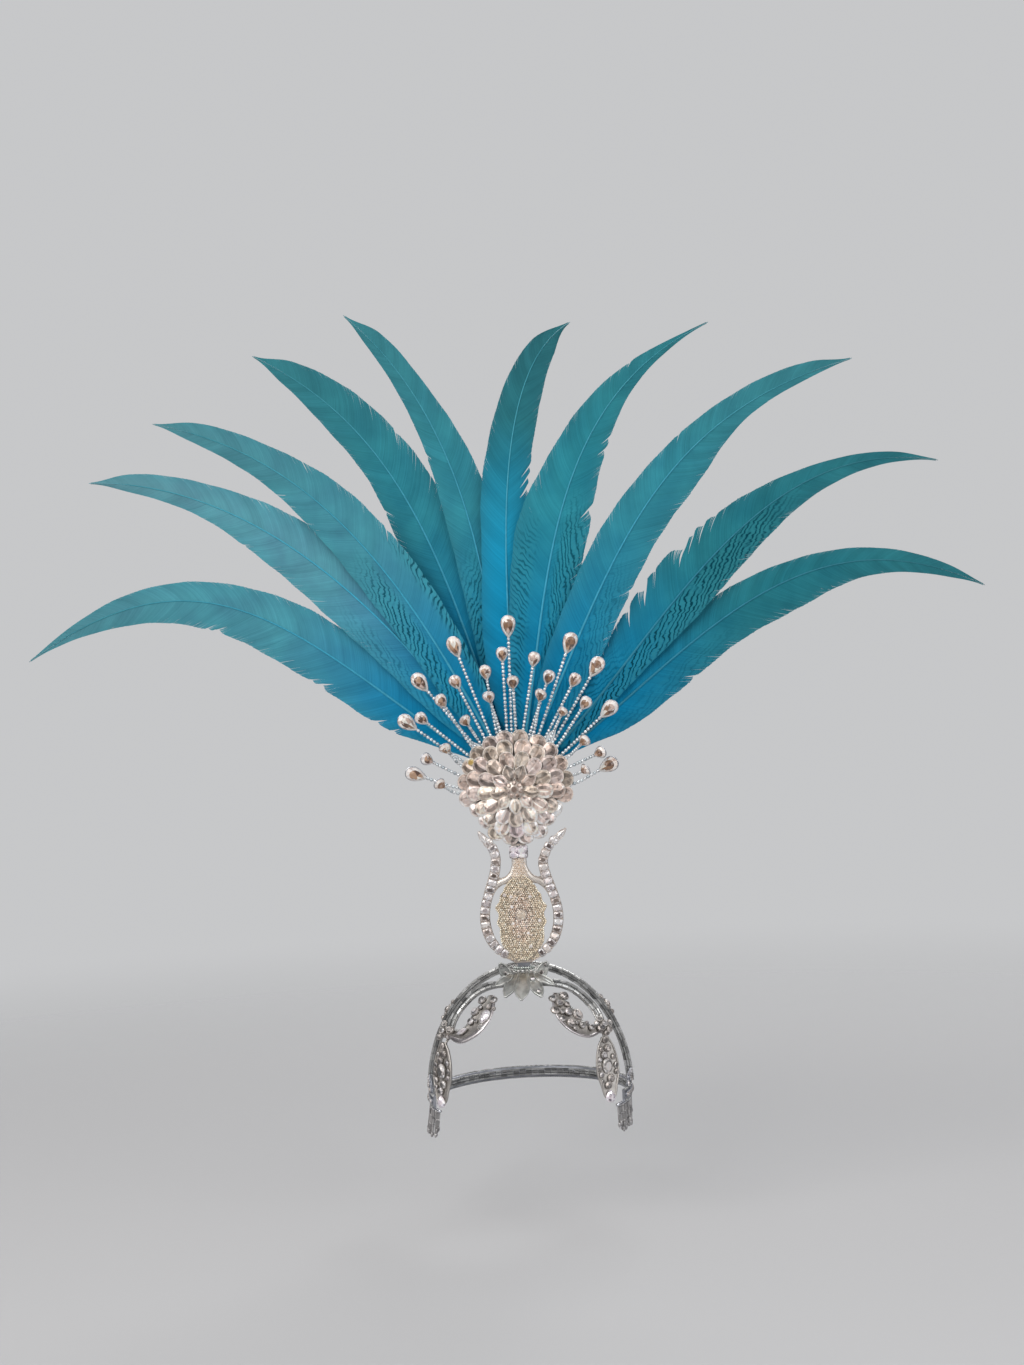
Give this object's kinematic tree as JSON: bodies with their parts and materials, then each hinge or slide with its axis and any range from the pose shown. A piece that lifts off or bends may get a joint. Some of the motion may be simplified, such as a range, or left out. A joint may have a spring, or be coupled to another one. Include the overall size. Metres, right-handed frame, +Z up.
{
  "type": "showgirl feather headdress",
  "caption": "Jewelled head frame with bead fringe carrying a lyre-shaped plate, a domed crystal rosette with drop sprays and a wide fan of long dyed tail feathers.",
  "frame": {"origin": "where the crown of the wearer's head meets the underside of the frame", "axes": "+Z up along the wearer's head, -Y the way the face looks, +X to the wearer's left (the viewer's right)"},
  "size_m": [0.9138, 0.1777, 0.7748],
  "materials": {
    "dyed_feather": "turquoise dyed feather web with dark fine wavy lines near the base",
    "crystal": "clear foil-backed faceted stones and glass beads",
    "silver_trim": "silver metal set with rows of small clear stones",
    "champagne_stone": "close-set champagne rhinestone mesh",
    "backing_cloth": "plain grey felt"
  },
  "bodies": {
    "root": {"feather_01": "dyed_feather", "feather_02": "dyed_feather", "feather_03": "dyed_feather", "feather_04": "dyed_feather", "feather_05": "dyed_feather", "feather_06": "dyed_feather", "feather_07": "dyed_feather", "feather_08": "dyed_feather", "feather_09": "dyed_feather", "feather_10": "dyed_feather", "spray_01": "crystal", "spray_02": "crystal", "spray_03": "crystal", "spray_04": "crystal", "spray_05": "crystal", "spray_06": "crystal", "spray_07": "crystal", "spray_08": "crystal", "spray_09": "crystal", "spray_10": "crystal", "spray_11": "crystal", "spray_12": "crystal", "spray_13": "crystal", "spray_14": "crystal", "spray_15": "crystal", "spray_16": "crystal", "spray_17": "crystal", "spray_18": "crystal", "spray_19": "crystal", "spray_20": "crystal", "spray_21": "crystal", "spray_22": "crystal", "spray_23": "crystal", "spray_24": "crystal", "spray_25": "crystal", "spray_26": "crystal", "spray_27": "crystal", "spray_28": "crystal", "spray_29": "crystal", "rosette_ring_outer": "crystal", "rosette_ring_second": "crystal", "rosette_ring_third": "crystal", "rosette_ring_inner": "crystal", "rosette_center": "crystal", "neck_collar": "crystal", "vase_stone": "crystal", "temple_leaf_left": "crystal", "temple_leaf_right": "crystal", "fringe_left": "crystal", "fringe_right": "crystal", "lyre_plate": "silver_trim", "crown_palmette": "silver_trim", "front_frame": "silver_trim", "rear_arch": "silver_trim", "lower_band": "silver_trim", "back_post": "silver_trim", "vase_applique": "champagne_stone", "rosette_base": "backing_cloth", "feather_hub": "backing_cloth"}
  },
  "joints": []
}
